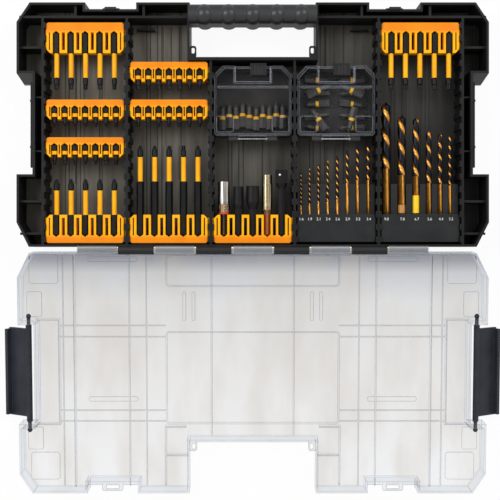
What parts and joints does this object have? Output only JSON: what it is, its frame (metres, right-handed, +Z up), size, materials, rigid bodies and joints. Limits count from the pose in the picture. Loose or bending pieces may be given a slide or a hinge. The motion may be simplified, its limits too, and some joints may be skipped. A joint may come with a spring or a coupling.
{
  "type": "drill bit case",
  "caption": "Hard case that opens flat: dark tray with grip, clear lid with side latches, lift-out bars of driver bits, drill indexes and small lidded boxes",
  "frame": {"origin": "Middle of the overall footprint, on the surface that the open case rests on; the hinge axis runs above it", "axes": "X along the hinge, Y from the open lid to the tray's grip, Z up"},
  "size_m": [0.4816, 0.47, 0.049],
  "materials": {
    "charcoal_plastic": "moulded, fine texture",
    "clear_plastic": "clear, polished",
    "latch_plastic": "moulded, satin",
    "orange_plastic": "moulded, satin",
    "black_steel": "black oxide",
    "yellow_sleeve": "smooth sleeve",
    "chrome_steel": "polished",
    "red_plastic": "smooth ring",
    "bronze_steel": "warm plated steel",
    "index_plastic": "moulded, satin",
    "gold_steel": "gold and black oxide",
    "band_yellow": "painted band",
    "box_plastic": "smooth",
    "box_clear": "clear, polished",
    "grey_steel": "phosphate grey",
    "rod_steel": "zinc plated"
  },
  "bodies": {
    "tray": {"base_tray": "charcoal_plastic", "hinge_rod": "rod_steel"},
    "lid_shell": {"lid": "clear_plastic"},
    "left_latch": {"latch_left": "latch_plastic"},
    "right_latch": {"latch_right": "latch_plastic"},
    "bar_a_set": {"bar_a": "orange_plastic", "bits_a": "black_steel", "sleeves_a": "yellow_sleeve"},
    "bar_b_set": {"bar_b": "orange_plastic", "bits_b": "black_steel", "rings_b": "yellow_sleeve"},
    "bar_c_set": {"bar_c": "orange_plastic", "bits_c": "black_steel", "rings_c": "yellow_sleeve"},
    "bar_d_set": {"bar_d": "orange_plastic", "bits_d": "black_steel", "sleeves_d": "yellow_sleeve"},
    "bar_e_set": {"bar_e": "orange_plastic", "bits_e": "black_steel", "rings_e": "yellow_sleeve"},
    "bar_f_set": {"bar_f": "orange_plastic", "bits_f": "black_steel", "rings_f": "yellow_sleeve"},
    "bar_g_set": {"bar_g": "orange_plastic", "bits_g": "black_steel", "sleeves_g": "yellow_sleeve"},
    "bar_h_set": {"bar_h": "orange_plastic", "chrome_holder": "chrome_steel", "holder_collar": "red_plastic", "nut_driver_small": "black_steel", "nut_driver_large": "black_steel", "magnetic_holder": "bronze_steel", "socket_adapter": "black_steel", "adapter_ball": "chrome_steel"},
    "bar_i_set": {"bar_i": "orange_plastic", "bits_i": "black_steel", "sleeves_i": "yellow_sleeve"},
    "small_index_set": {"index_small": "index_plastic", "drills_small": "gold_steel"},
    "large_index_set": {"index_large": "index_plastic", "drills_large": "gold_steel", "drill_bands": "band_yellow"},
    "box_1": {"box_base_1": "box_plastic", "box_pin_1": "grey_steel", "box_bits_1": "grey_steel", "box_rings_1": "yellow_sleeve"},
    "box_1_cover": {"box_lid_1": "box_clear"},
    "box_1_catch": {"box_latch_1": "latch_plastic"},
    "box_2": {"box_base_2": "box_plastic", "box_pin_2": "grey_steel", "box_bits_2": "grey_steel", "box_rings_2": "yellow_sleeve"},
    "box_2_cover": {"box_lid_2": "box_clear"},
    "box_2_catch": {"box_latch_2": "latch_plastic"}
  },
  "joints": [
    {"name": "lid_hinge", "type": "hinge", "parent": "tray", "child": "lid_shell", "pos_m": [0, 0, 0.038], "axis": [1, 0, 0], "range_deg": [-183.9, 0]},
    {"name": "left_latch_swing", "type": "hinge", "parent": "lid_shell", "child": "left_latch", "pos_m": [-0.216, -0.11904, 0.01986], "axis": [0, -0.9977, -0.068], "range_deg": [-120, 0]},
    {"name": "right_latch_swing", "type": "hinge", "parent": "lid_shell", "child": "right_latch", "pos_m": [0.216, -0.11904, 0.01986], "axis": [0, 0.9977, 0.068], "range_deg": [-120, 0]},
    {"name": "bar_a_lift", "type": "slide", "parent": "tray", "child": "bar_a_set", "axis": [0, 0, 1], "range_m": [0, 0.04]},
    {"name": "bar_b_lift", "type": "slide", "parent": "tray", "child": "bar_b_set", "axis": [0, 0, 1], "range_m": [0, 0.04]},
    {"name": "bar_c_lift", "type": "slide", "parent": "tray", "child": "bar_c_set", "axis": [0, 0, 1], "range_m": [0, 0.04]},
    {"name": "bar_d_lift", "type": "slide", "parent": "tray", "child": "bar_d_set", "axis": [0, 0, 1], "range_m": [0, 0.04]},
    {"name": "bar_e_lift", "type": "slide", "parent": "tray", "child": "bar_e_set", "axis": [0, 0, 1], "range_m": [0, 0.04]},
    {"name": "bar_f_lift", "type": "slide", "parent": "tray", "child": "bar_f_set", "axis": [0, 0, 1], "range_m": [0, 0.04]},
    {"name": "bar_g_lift", "type": "slide", "parent": "tray", "child": "bar_g_set", "axis": [0, 0, 1], "range_m": [0, 0.04]},
    {"name": "bar_h_lift", "type": "slide", "parent": "tray", "child": "bar_h_set", "axis": [0, 0, 1], "range_m": [0, 0.04]},
    {"name": "bar_i_lift", "type": "slide", "parent": "tray", "child": "bar_i_set", "axis": [0, 0, 1], "range_m": [0, 0.04]},
    {"name": "small_index_lift", "type": "slide", "parent": "tray", "child": "small_index_set", "axis": [0, 0, 1], "range_m": [0, 0.04]},
    {"name": "large_index_lift", "type": "slide", "parent": "tray", "child": "large_index_set", "axis": [0, 0, 1], "range_m": [0, 0.04]},
    {"name": "box_1_lift", "type": "slide", "parent": "tray", "child": "box_1", "axis": [0, 0, 1], "range_m": [0, 0.045]},
    {"name": "box_1_lid_hinge", "type": "hinge", "parent": "box_1", "child": "box_1_cover", "pos_m": [0, 0.1068, 0.0265], "axis": [1, 0, 0], "range_deg": [0, 90]},
    {"name": "box_1_catch_slide", "type": "slide", "parent": "box_1_cover", "child": "box_1_catch", "axis": [1, 0, 0], "range_m": [-0.0108, 0]},
    {"name": "box_2_lift", "type": "slide", "parent": "tray", "child": "box_2", "axis": [0, 0, 1], "range_m": [0, 0.045]},
    {"name": "box_2_lid_hinge", "type": "hinge", "parent": "box_2", "child": "box_2_cover", "pos_m": [0.08, 0.1068, 0.0265], "axis": [1, 0, 0], "range_deg": [0, 90]},
    {"name": "box_2_catch_slide", "type": "slide", "parent": "box_2_cover", "child": "box_2_catch", "axis": [1, 0, 0], "range_m": [-0.0108, 0]}
  ]
}
